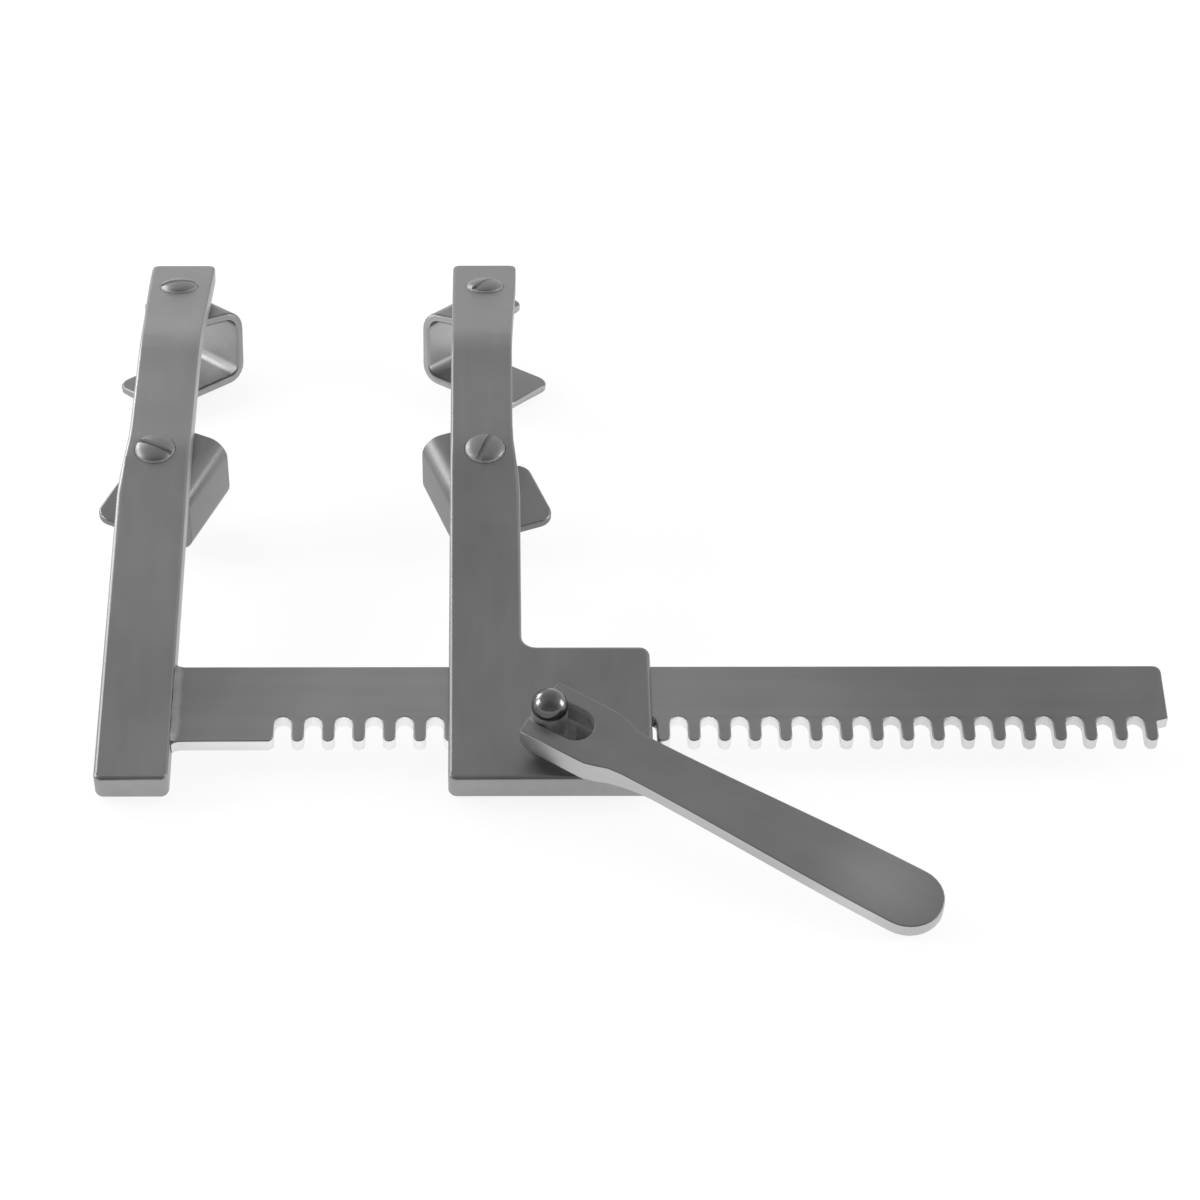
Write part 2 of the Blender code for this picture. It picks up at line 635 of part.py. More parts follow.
def make_handle(parent, material):
    """Forked crank handle, flat on top, thicker at its head than at its grip."""
    end = HANDLE_END_WIDTH / 2
    length = HANDLE_REACH - HANDLE_HEAD_RUN
    runs = [HANDLE_HEAD_RUN + length * (i / HANDLE_SIDE_STEPS) ** 1.5 for i in range(HANDLE_SIDE_STEPS)]
    side = [Vector((run, -handle_half_width(run))) for run in runs]
    outline = [Vector((-HANDLE_HEAD_BACK, -HANDLE_HEAD_WIDTH / 2))] + side
    outline += arc((HANDLE_REACH, 0.0), end, -pi / 2, pi / 2, HANDLE_END_STEPS)
    outline += [Vector((point.x, -point.y)) for point in reversed(side)]
    outline += [Vector((-HANDLE_HEAD_BACK, HANDLE_HEAD_WIDTH / 2))]
    slot_radius = FORK_SLOT_WIDTH / 2
    outline += [Vector((-HANDLE_HEAD_BACK, slot_radius))]
    outline += arc((FORK_SLOT_END - slot_radius, 0.0), slot_radius, pi / 2, -pi / 2, FORK_END_STEPS)
    outline += [Vector((-HANDLE_HEAD_BACK, -slot_radius))]
    top = HINGE_PIN_BELOW_TOP
    head_bottom = top - HANDLE_HEAD_THICKNESS
    grip_bottom = top - HANDLE_GRIP_THICKNESS
    handle = add_object("crank_handle", prism(outline, head_bottom, top), parent, material)

    reach = HANDLE_REACH + HANDLE_END_WIDTH
    above = top + HANDLE_HEAD_THICKNESS
    profile = [Vector((-HANDLE_HEAD_BACK, above))]
    profile += arc((HANDLE_EAR_RADIUS - HANDLE_HEAD_BACK, head_bottom + HANDLE_EAR_RADIUS),
                   HANDLE_EAR_RADIUS, pi, 3 * pi / 2, HANDLE_RAMP_STEPS)
    for i in range(HANDLE_RAMP_STEPS + 1):
        share = i / HANDLE_RAMP_STEPS
        run = HANDLE_RAMP_START + (HANDLE_RAMP_END - HANDLE_RAMP_START) * share
        level = head_bottom + (grip_bottom - head_bottom) * smooth_step(share)
        profile.append(Vector((run, level)))
    profile += [Vector((reach, grip_bottom)), Vector((reach, above))]
    side_view = add_object("side_profile", prism(profile, -HANDLE_HEAD_WIDTH, HANDLE_HEAD_WIDTH), parent)
    side_view.matrix_local = Matrix.Rotation(pi / 2, 4, "X")
    combine(handle, [side_view], "INTERSECT")
    round_edges(handle, HANDLE_EDGE_RADIUS)
    bpy.context.view_layer.update()
    hole_radius = HINGE_PIN_DIAMETER / 2 + PIN_GAP
    hole_shape = rod(hole_radius, -HANDLE_HEAD_WIDTH, HANDLE_HEAD_WIDTH, SMALL_CIRCLE_SIDES)
    hole = add_object("ear_hole", hole_shape, parent)
    hole.matrix_local = Matrix.Rotation(pi / 2, 4, "X")
    combine(handle, [hole], "DIFFERENCE")
    return handle


def make_blade(name, parent, material, hole_from_web, hole_off_middle, flare):
    """Channel bent from sheet: top flange, web and longer bottom flange, bored for its screw.

    The origin is the screw's axis at the top of the top flange, the web is on
    the +X side, and a flare opens the last bend. A plus hole_off_middle leaves
    more of the blade on the +Y side of its screw.
    """
    first_bend = pi / 2
    last_bend = pi / 2 - flare
    path = ((BLADE_TOP_DEPTH - BLADE_BEND_RADIUS, 0.0),
            (BLADE_BEND_RADIUS * first_bend, -first_bend),
            (BLADE_HEIGHT - 2 * BLADE_BEND_RADIUS, 0.0),
            (BLADE_BEND_RADIUS * last_bend, -last_bend),
            (BLADE_BOTTOM_DEPTH - BLADE_BEND_RADIUS, 0.0))
    run = sum(piece[0] for piece in path)
    half = BLADE_LENGTH / 2
    outline = rounded_outline([(-half, 0.0, BLADE_CORNER_RADIUS), (half, 0.0, BLADE_CORNER_RADIUS),
                               (half, run, BLADE_CORNER_RADIUS), (-half, run, BLADE_CORNER_RADIUS)], 5)
    stations = bend_stations(path, BLADE_BEND_STEP)
    bm = bent_plate(outline, BLADE_SHEET, BLADE_EDGE_RADIUS, 1, path, stations)
    bmesh.ops.rotate(bm, verts=bm.verts, matrix=Matrix.Rotation(-pi / 2, 3, "Z"))
    shift = (hole_from_web - BLADE_TOP_DEPTH, hole_off_middle, 0.0)
    bmesh.ops.translate(bm, verts=bm.verts, vec=shift)
    blade = add_object(name, bm, parent, material)
    hole_radius = SCREW_SHANK_DIAMETER / 2 + RUNNING_GAP
    bore = rod(hole_radius, -2 * BLADE_SHEET, BLADE_SHEET, SMALL_CIRCLE_SIDES)
    combine(blade, [add_object("blade_bore", bore, parent)], "DIFFERENCE")
    return blade


def make_blade_set(name, parent, place, blade_material, polished):
    """One swivelling blade with the screw, washer and round nut that hold it."""
    frame, thickness = place
    side, end = name.split("_")
    axis = add_empty(name + "_axis", parent, frame)
    flange_top = -(WASHER_THICKNESS + 2 * RUNNING_GAP)
    nut_top = flange_top - BLADE_SHEET - RUNNING_GAP
    nut_bottom = nut_top - NUT_THICKNESS
    hole_from_web = NEAR_HOLE_FROM_WEB if end == "near" else FAR_HOLE_FROM_WEB
    off_middle = NEAR_HOLE_OFF_MIDDLE if end == "near" else FAR_HOLE_OFF_MIDDLE
    flare = NEAR_BLADE_FLARE if end == "near" else FAR_BLADE_FLARE
    hand = -1.0 if side == "moving" else 1.0
    half_turn = pi if side == "moving" else 0.0
    blade = make_blade(name + "_blade", axis, blade_material, hole_from_web, hand * off_middle, flare)
    blade.location = (0.0, 0.0, flange_top)
    blade.rotation_euler = (0.0, 0.0, half_turn + BLADE_TURNS[name])

    shank = SCREW_SHANK_DIAMETER / 2
    head = SCREW_HEAD_DIAMETER / 2
    seat = thickness - SCREW_HEAD_SEAT + RUNNING_GAP
    rim = thickness
    profile = [(0.0, nut_bottom), (shank, nut_bottom), (shank, seat), (head, seat), (head, rim)]
    for i in range(1, SCREW_DOME_STEPS):
        angle = pi / 2 * i / SCREW_DOME_STEPS
        profile.append((head * cos(angle), rim + SCREW_HEAD_DOME * sin(angle)))
    profile.append((0.0, rim + SCREW_HEAD_DOME))
    screw = add_object(name + "_screw", turned(profile, SCREW_SIDES), axis, polished)
    slot_bottom = rim + SCREW_HEAD_DOME - SCREW_SLOT_DEPTH
    slot = box((-SCREW_HEAD_DIAMETER, -SCREW_SLOT_WIDTH / 2, slot_bottom),
               (SCREW_HEAD_DIAMETER, SCREW_SLOT_WIDTH / 2, rim + 2 * SCREW_HEAD_DOME))
    cutter = add_object(name + "_slot", slot, axis)
    cutter.rotation_euler = (0.0, 0.0, SLOT_TURNS[name])
    combine(screw, [cutter], "DIFFERENCE")

    bore = shank + RUNNING_GAP
    washer_bottom = -RUNNING_GAP - WASHER_THICKNESS
    washer = ring(bore, WASHER_DIAMETER / 2, washer_bottom, -RUNNING_GAP, SMALL_CIRCLE_SIDES)
    nut = ring(bore, NUT_DIAMETER / 2, nut_bottom, nut_top, SMALL_CIRCLE_SIDES)
    add_object(name + "_washer", washer, axis, polished)
    add_object(name + "_nut", nut, axis, polished)
    return blade


def rest_angle(blades):
    """Angle that the flat instrument leans back when its front edge and a blade touch the table."""
    bpy.context.view_layer.update()
    steepest = 0.0
    for blade in blades:
        for vert in blade.data.vertices:
            point = blade.matrix_world @ vert.co
            steepest = max(steepest, atan2(-point.z, point.y))
    return steepest


def main():
    """Build the instrument flat, then lean it back as it rests on a table."""
    clear_scene()
    satin = steel("satin_steel", 0.33, 0.38)
    rack_satin = steel("rack_steel", 0.33, 0.36)
    handle_satin = steel("handle_steel", 0.33, 0.35)
    blade_satin = steel("blade_steel", 0.38, 0.34)
    polished = steel("polished_steel", 0.45, 0.18)
    pin_steel = steel("pin_steel", 0.42, 0.25)

    instrument = add_empty("instrument")
    places = screw_places()
    make_fixed_arm(instrument, satin, places)
    make_rack(instrument, rack_satin)
    moving = add_empty("moving_group", instrument)
    make_moving_arm(moving, satin, places)
    crank = add_empty("crank_axis", moving, Matrix.Translation((CRANK_X, CRANK_Y, 0.0)))
    make_crank(crank, polished, pin_steel)
    handle_axis = (Matrix.Translation((0.0, 0.0, HANDLE_PIN_LEVEL)) @ Matrix.Rotation(HANDLE_ANGLE, 4, "Z"))
    fold = add_empty("handle_axis", crank, handle_axis)
    make_handle(fold, handle_satin)

    blades = []
    for name, place in places.items():
        carrier = moving if name.startswith("moving") else instrument
        blades.append(make_blade_set(name, carrier, place, blade_satin, polished))

    lean = Matrix.Rotation(rest_angle(blades), 4, "X")
    reference = Vector((FIXED_INNER_EDGE - ARM_WIDTH / 2, ORIGIN_RUN, 0.0))
    instrument.matrix_world = lean @ Matrix.Translation(-reference)
    bpy.context.view_layer.update()


main()
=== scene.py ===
"""Looks of a sternal spreader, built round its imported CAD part.

The sections follow the instrument as it is put together: the two arms, the rack
brazed into the fixed one, the crank, its folding handle, the blades and the
screws that hold them. The table, the light and the camera come last.
"""

import json
from math import atan2, pi, radians, sin

import bmesh
import bpy
from mathutils import Matrix, Vector


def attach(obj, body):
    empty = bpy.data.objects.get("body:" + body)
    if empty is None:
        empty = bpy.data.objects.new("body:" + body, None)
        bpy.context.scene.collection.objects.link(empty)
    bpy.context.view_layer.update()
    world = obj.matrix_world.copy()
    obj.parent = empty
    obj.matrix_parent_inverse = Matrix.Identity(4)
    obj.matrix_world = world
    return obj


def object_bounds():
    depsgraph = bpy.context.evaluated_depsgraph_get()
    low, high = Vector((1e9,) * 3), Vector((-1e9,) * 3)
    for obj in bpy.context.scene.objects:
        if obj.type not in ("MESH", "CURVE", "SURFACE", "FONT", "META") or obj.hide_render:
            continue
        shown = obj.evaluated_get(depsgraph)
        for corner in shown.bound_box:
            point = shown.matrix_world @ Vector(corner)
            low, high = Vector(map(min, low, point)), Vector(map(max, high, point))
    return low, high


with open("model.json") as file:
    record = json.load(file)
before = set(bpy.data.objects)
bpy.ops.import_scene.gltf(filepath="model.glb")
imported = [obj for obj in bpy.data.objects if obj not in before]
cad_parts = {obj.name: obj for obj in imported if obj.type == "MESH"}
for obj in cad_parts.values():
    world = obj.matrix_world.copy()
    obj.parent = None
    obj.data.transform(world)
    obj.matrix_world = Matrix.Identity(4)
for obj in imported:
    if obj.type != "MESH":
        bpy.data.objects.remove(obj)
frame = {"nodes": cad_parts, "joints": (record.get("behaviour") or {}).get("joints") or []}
cad_low, cad_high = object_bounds()
nodes = frame["nodes"]
joints = {joint["name"]: joint for joint in frame["joints"]}

MM = 0.001


# Arms
# Two bars forged from martensitic stainless steel, ground to shape, then blasted
# with glass beads to a satin that doesn't dazzle under theatre lamps. Their tones are
# painted light and shade: flat faces, rounded rims and sides each get a tone by how far
# they turn upwards, the rims darkest, and a painted highlight brightens the middle of
# the fixed arm.
ARM_WIDTH = 15.2 * MM
ORIGIN_RUN = 20.0 * MM      # the origin lies this far behind the arms' front faces
ARM_ROUGHNESS = 0.42
PAINTED_HIGHLIGHT_RUN = 98.0 * MM        # the middle of the painted highlight, from the front face
PAINTED_HIGHLIGHT_REACH = 60.0 * MM
PAINTED_HIGHLIGHT_GAIN = 1.13

# Satin steel: the belt's bands, broad clouds and the pits left by the beads
BEAD_PIT = 0.30 * MM        # real pits are about 0.05 mm, drawn coarser so that they show
BELT_LINE = 4.0 * MM        # real belt lines are 0.1 mm apart, drawn as the bands they merge into
BELT_RUN = 80.0 * MM
CLOUD = 24.0 * MM
BELT_SHARE = 0.4            # the belt's share in the tone, the clouds have the rest
TONE_SPAN = (0.35, 0.65)    # the part of the noise that the tone runs through
TONE_SWING = 0.08
GLOSS_SWING = 0.03
PIT_STRENGTH = 0.2
PIT_DEPTH = 0.02 * MM

# How far a face turns upwards, as the height of its normal, for each of its tones, which paint
# light and shade by slope
SIDE_TOP = 0.25
RIM_LOW = 0.5
RIM_HIGH = 0.72
FACE_LOW = 0.86

# Hollows such as the seats of the screw heads: painted light gives their sides and undersides a
# light matt colour where shade would fall
PAINTED_HOLLOW_LIGHT = "#d4d4d5"
MATT_ROUGHNESS = 0.85
HOLLOW_TOP = 0.46           # the sides of a hollow turn upwards no more than this
SEAT_LEVEL = 5.0 * MM       # the screw heads' seats, over the arms' undersides
SEAT_REACH = 5.3 * MM

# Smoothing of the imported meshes
SEAM_ANGLE = radians(50.0)
WELD_DISTANCE = 0.001 * MM
FLAT_WEIGHT = 100

base_up = Vector(joints["crank_spin"]["axis"])
lean = atan2(-base_up.y, base_up.z)
flat_corner = Matrix.Translation((-ARM_WIDTH / 2, -ORIGIN_RUN, 0.0))
leaned = Matrix.Rotation(lean, 4, "X") @ flat_corner


def linear(colour):
    """Linear values of an sRGB hex colour, with a full alpha."""
    parts = [int(colour[i:i + 2], 16) / 255 for i in (1, 3, 5)]
    return (*(part / 12.92 if part <= 0.04045 else ((part + 0.055) / 1.055) ** 2.4
              for part in parts), 1.0)


def add_node(tree, kind, sockets=None, **settings):
    """Add a node with its settings; each socket gets a value, or a link from a node's socket."""
    node = tree.nodes.new(kind)
    for name, value in settings.items():
        setattr(node, name, value)
    for name, value in (sockets or {}).items():
        if isinstance(value, bpy.types.NodeSocket):
            tree.links.new(value, node.inputs[name])
        else:
            node.inputs[name].default_value = value
    return node


def smooth_rounds(obj):
    """Shade a CAD solid's rims, bends and turned sides as round, and leave its corners sharp."""
    tree = bpy.data.node_groups.new("round sides of " + obj.name, "GeometryNodeTree")
    for in_out in ("INPUT", "OUTPUT"):
        tree.interface.new_socket("Geometry", in_out=in_out, socket_type="NodeSocketGeometry")
    given = add_node(tree, "NodeGroupInput")
    joined = add_node(tree, "GeometryNodeMergeByDistance",
                      {"Geometry": given.outputs[0], "Distance": WELD_DISTANCE})
    plain = add_node(tree, "GeometryNodeRemoveAttribute",
                     {"Geometry": joined.outputs[0], "Name": "custom_normal"})
    faces = add_node(tree, "GeometryNodeSetShadeSmooth", {"Geometry": plain.outputs[0]},
                     domain="FACE")
    angle = add_node(tree, "GeometryNodeInputMeshEdgeAngle")
    is_soft = add_node(tree, "FunctionNodeCompare",
                       {"A": angle.outputs["Unsigned Angle"], "B": SEAM_ANGLE},
                       operation="LESS_THAN")
    edges = add_node(tree, "GeometryNodeSetShadeSmooth",
                     {"Geometry": faces.outputs[0], "Shade Smooth": is_soft.outputs[0]},
                     domain="EDGE")
    add_node(tree, "NodeGroupOutput", {"Geometry": edges.outputs[0]})
    obj.modifiers.new("round sides", "NODES").node_group = tree
    weighted = obj.modifiers.new("flat faces stay flat", "WEIGHTED_NORMAL")
    weighted.keep_sharp = True
    weighted.weight = FLAT_WEIGHT


def satin_steel(name, face, rim, side, roughness, up, belt_turn, hollows=(), bright_spot=None):
    """Blasted stainless steel with painted light and shade: its flat faces, its rims and its sides
    each have a tone.

    Broad clouds and the bands left by the grinding belt vary the tone and the
    gloss, and fine pits break up what it reflects. Each hollow is a centre and a
    radius inside which the sides and the underside get a light matt colour, painted
    light where shade would fall. A bright spot is a centre, a radius and how many
    times brighter the tone is at the centre.
    """
    material = bpy.data.materials.new(name)
    material.use_nodes = True
    tree = material.node_tree
    shader = tree.nodes["Principled BSDF"]
    shader.inputs["Metallic"].default_value = 1.0
    place = add_node(tree, "ShaderNodeTexCoord")
    turned = add_node(tree, "ShaderNodeVectorRotate",
                      {"Vector": place.outputs["Object"], "Axis": (0.0, 0.0, 1.0),
                       "Angle": belt_turn})
    stretched = add_node(tree, "ShaderNodeVectorMath",
                         {0: turned.outputs[0], 1: (1 / BELT_RUN, 1 / BELT_LINE, 1 / BELT_LINE)},
                         operation="MULTIPLY")
    belt = add_node(tree, "ShaderNodeTexNoise",
                    {"Vector": stretched.outputs[0], "Scale": 1.0, "Detail": 3.0,
                     "Roughness": 0.55})
    clouds = add_node(tree, "ShaderNodeTexNoise",
                      {"Vector": place.outputs["Object"], "Scale": 1 / CLOUD, "Detail": 2.0})
    pits = add_node(tree, "ShaderNodeTexNoise",
                    {"Vector": place.outputs["Object"], "Scale": 1 / BEAD_PIT, "Detail": 2.0})
    tone = add_node(tree, "ShaderNodeMix",
                    {0: BELT_SHARE, 2: clouds.outputs[0], 3: belt.outputs[0]})
    shade = add_node(tree, "ShaderNodeMapRange",
                     {"Value": tone.outputs[0], "From Min": TONE_SPAN[0], "From Max": TONE_SPAN[1],
                      "To Min": 1.0 - TONE_SWING, "To Max": 1.0 + TONE_SWING})
    level = add_node(tree, "ShaderNodeVectorMath",
                     {0: place.outputs["Normal"], 1: tuple(up)}, operation="DOT_PRODUCT")
    steepness = add_node(tree, "ShaderNodeMath", {0: level.outputs["Value"]},
                         operation="ABSOLUTE")
    # Painted light and shade: each face gets the side, rim or face tone by how far it turns
    # upwards
    tones = add_node(tree, "ShaderNodeValToRGB", {"Fac": steepness.outputs[0]})
    stops = tones.color_ramp.elements
    for position, colour in ((SIDE_TOP, side), (RIM_LOW, rim), (RIM_HIGH, rim), (FACE_LOW, face)):
        stop = stops.new(position)
        stop.color = linear(colour)
    stops.remove(stops[0])
    stops.remove(stops[-1])
    if bright_spot:
        centre, radius, gain = bright_spot
        off = add_node(tree, "ShaderNodeVectorMath",
                       {0: place.outputs["Object"], 1: tuple(centre)}, operation="DISTANCE")
        brightened = add_node(tree, "ShaderNodeMapRange",
                          {"Value": off.outputs["Value"], "From Min": 0.0, "From Max": radius,
                           "To Min": gain, "To Max": 1.0}, interpolation_type="SMOOTHSTEP")
        shade = add_node(tree, "ShaderNodeMath", {0: shade.outputs[0], 1: brightened.outputs[0]},
                         operation="MULTIPLY")
    body = add_node(tree, "ShaderNodeVectorMath",
                    {0: tones.outputs[0], "Scale": shade.outputs[0]}, operation="SCALE")
    dull = add_node(tree, "ShaderNodeMapRange",
                    {"Value": tone.outputs[0], "From Min": TONE_SPAN[0], "From Max": TONE_SPAN[1],
                     "To Min": roughness - GLOSS_SWING, "To Max": roughness + GLOSS_SWING})
    # Painted light: the sides and underside inside each hollow get a light matt colour where shade
    # would fall
    if hollows:
        inside = None
        for centre, radius in hollows:
            off = add_node(tree, "ShaderNodeVectorMath",
                           {0: place.outputs["Object"], 1: tuple(centre)}, operation="DISTANCE")
            within = add_node(tree, "ShaderNodeMath", {0: off.outputs["Value"], 1: radius},
                              operation="LESS_THAN")
            inside = within if inside is None else add_node(
                tree, "ShaderNodeMath", {0: inside.outputs[0], 1: within.outputs[0]},
                operation="MAXIMUM")
        under = add_node(tree, "ShaderNodeMath", {0: level.outputs["Value"], 1: HOLLOW_TOP},
                         operation="LESS_THAN")
        matt = add_node(tree, "ShaderNodeMath", {0: inside.outputs[0], 1: under.outputs[0]},
                        operation="MULTIPLY")
        body = add_node(tree, "ShaderNodeMix",
                        {0: matt.outputs[0], 6: body.outputs[0], 7: linear(PAINTED_HOLLOW_LIGHT)},
                        data_type="RGBA")
        tree.links.new(body.outputs[2], shader.inputs["Base Color"])
        dull = add_node(tree, "ShaderNodeMix",
                        {0: matt.outputs[0], 2: dull.outputs[0], 3: MATT_ROUGHNESS})
    else:
        tree.links.new(body.outputs[0], shader.inputs["Base Color"])
    tree.links.new(dull.outputs[0], shader.inputs["Roughness"])
    bump = add_node(tree, "ShaderNodeBump",
                    {"Strength": PIT_STRENGTH, "Distance": PIT_DEPTH, "Height": pits.outputs[0]})
    tree.links.new(bump.outputs[0], shader.inputs["Normal"])
    return material


def finish_node(name, material):
    """Give a CAD solid its finish and its smooth rounds."""
    obj = nodes[name]
    obj.data.materials.clear()
    obj.data.materials.append(material)
    smooth_rounds(obj)


def screw_seats(arm):
    """The seats of an arm's two screw heads, as hollows."""
    swivels = [joints[arm + row + "_swivel"] for row in ("_near", "_far")]
    return [(Vector(swivel["pos_m"]) + SEAT_LEVEL * Vector(swivel["axis"]), SEAT_REACH)
            for swivel in swivels]


# A painted highlight brightens the middle of the fixed arm
painted_highlight_middle = leaned @ Vector((ARM_WIDTH / 2, PAINTED_HIGHLIGHT_RUN, 0.0))
fixed_steel = satin_steel("bead blasted stainless steel, fixed arm",
                          "#a5a5a6", "#8b8b8c", "#a2a2a3", ARM_ROUGHNESS, base_up, pi / 2,
                          screw_seats("fixed"), (painted_highlight_middle, PAINTED_HIGHLIGHT_REACH, PAINTED_HIGHLIGHT_GAIN))
moving_steel = satin_steel("bead blasted stainless steel, moving arm",
                           "#9f9fa0", "#878788", "#9e9e9f", ARM_ROUGHNESS, base_up, pi / 2,
                           screw_seats("moving"))
finish_node("fixed_arm", fixed_steel)
finish_node("moving_arm", moving_steel)


# Rack
# A flat bar of the same steel, surface ground, with its gaps milled straight
# through. The flanks and tips of the teeth are painted lighter than the faces and
# the rims darker, as painted light and shade. The middle of its run is brighter.
RACK_ROUGHNESS = 0.40
RACK_BRIGHT_MIDDLE = (85.0 * MM, 0.0, 0.0)
RACK_BRIGHT_REACH = 110.0 * MM
RACK_BRIGHT_GAIN = 1.50

# The light side tone is painted light on the flanks and tips of the teeth
rack_steel = satin_steel("ground rack steel with milled teeth",
                         "#9e9e9f", "#7a7a7b", "#d7d7d8", RACK_ROUGHNESS, base_up, 0.0,
                         (), (RACK_BRIGHT_MIDDLE, RACK_BRIGHT_REACH, RACK_BRIGHT_GAIN))
finish_node("rack_bar", rack_steel)


# Braze fillets
# Silver braze that ran round the rack where it enters the fixed arm and set in a
# hollow fillet above and below it. It is left as it flowed, a little duller and less
# even than the ground steel.
RACK_FRONT = 10.8 * MM
RACK_BACK = 30.4 * MM
RACK_TOP = 4.9 * MM
RACK_BOTTOM = 1.6 * MM
FILLET_RUN = 1.8 * MM
FILLET_RISE = 1.1 * MM
FILLET_ROOT = 0.05 * MM     # how far it reaches into the rack and the arm
FILLET_HOLLOW = 1.5         # 1 would be a straight slope
FILLET_SIDES = 7
FILLET_SECTIONS = 40
END_SLOPE = 9.0             # how fast it swells from its ends
END_SHARE = 0.3
FLOW_LUMP = 2.5 * MM
FLOW_WAVES = ((0.04, 2.7 * FLOW_LUMP), (0.02, FLOW_LUMP))
BRAZE_ROUGHNESS = 0.48


def braze_fillet(name, level, outward):
    """Hollow fillet along the arm's side, on the rack's top for outward 1, under it for -1."""
    bm = bmesh.new()
    rings = []
    root = level - outward * FILLET_ROOT
    for i in range(FILLET_SECTIONS + 1):
        share = i / FILLET_SECTIONS
        run = RACK_FRONT + (RACK_BACK - RACK_FRONT) * share
        flow = 1.0 + sum(swell * sin(2 * pi * run / wave) for swell, wave in FLOW_WAVES)
        from_ends = min(share, 1.0 - share)
        ends = min(1.0, END_SLOPE * from_ends + END_SHARE) ** 0.5
        width = FILLET_RUN * flow * ends
        section = []
        for j in range(FILLET_SIDES + 1):
            across = j / FILLET_SIDES
            rise = FILLET_RISE * flow * ends * (1.0 - across) ** FILLET_HOLLOW
            section.append((ARM_WIDTH + width * across, level + outward * rise))
        section += [(ARM_WIDTH + width, root), (ARM_WIDTH - FILLET_ROOT, root),
                    (ARM_WIDTH - FILLET_ROOT, level + outward * FILLET_RISE * ends)]
        rings.append([bm.verts.new(leaned @ Vector((x, run, z))) for x, z in section])
    count = len(rings[0])
    for ring, following in zip(rings, rings[1:]):
        for j in range(count):
            k = (j + 1) % count
            bm.faces.new((ring[j], ring[k], following[k], following[j]))
    bm.faces.new(rings[0])
    bm.faces.new(rings[-1])
    bmesh.ops.recalc_face_normals(bm, faces=bm.faces)
    mesh = bpy.data.meshes.new(name)
    bm.to_mesh(mesh)
    bm.free()
    mesh.shade_smooth()
    mesh.set_sharp_from_angle(angle=SEAM_ANGLE)
    mesh.materials.append(braze)
    obj = bpy.data.objects.new(name, mesh)
    bpy.context.scene.collection.objects.link(obj)
    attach(obj, "fixed_frame")


# Its face, rim and side tones are painted light and shade, as on the arms
braze = satin_steel("silver braze", "#acacab", "#8e8e8d", "#9c9c9b", BRAZE_ROUGHNESS, base_up, 0.0)
braze_fillet("braze_fillet_top", RACK_TOP, 1.0)
braze_fillet("braze_fillet_bottom", RACK_BOTTOM, -1.0)


# Crank
# A post turned from bar, polished where the thumb rests on it, with a collar that
# runs on the housing. Two ground pins under it step through the rack, and a keeper
# disc below holds them in.
TOOL_LINE = 0.4 * MM        # real tool lines are 0.05 mm apart, drawn coarser so that they show
TOOL_STRENGTH = 0.12
TOOL_DEPTH = 0.01 * MM
TOOL_WANDER = 0.6
WAVE_RINGS = pi / 10        # the wave texture's rings in one unit, as a share of its scale
SMEAR = 3.0 * MM
SMEAR_SPAN = (0.3, 0.7)
SMEAR_TONES = (0.9, 1.08)
SMEAR_GLOSS = 0.03
POST_ROUGHNESS = 0.50
POST_POLISH = 0.19
POLISH_BLEND = 0.6 * MM
DOME_SEAM = 16.3 * MM       # the height over the arms' flat underside where the polish starts
# Painted shade: the cap's tone darkens down its steep sides, between these heights of the normal
CROWN_SPAN = (0.4, 0.7)
CROWN_TONES = (0.45, 1.0)
PIN_TONE = "#b0b0b1"
PIN_ROUGHNESS = 0.24


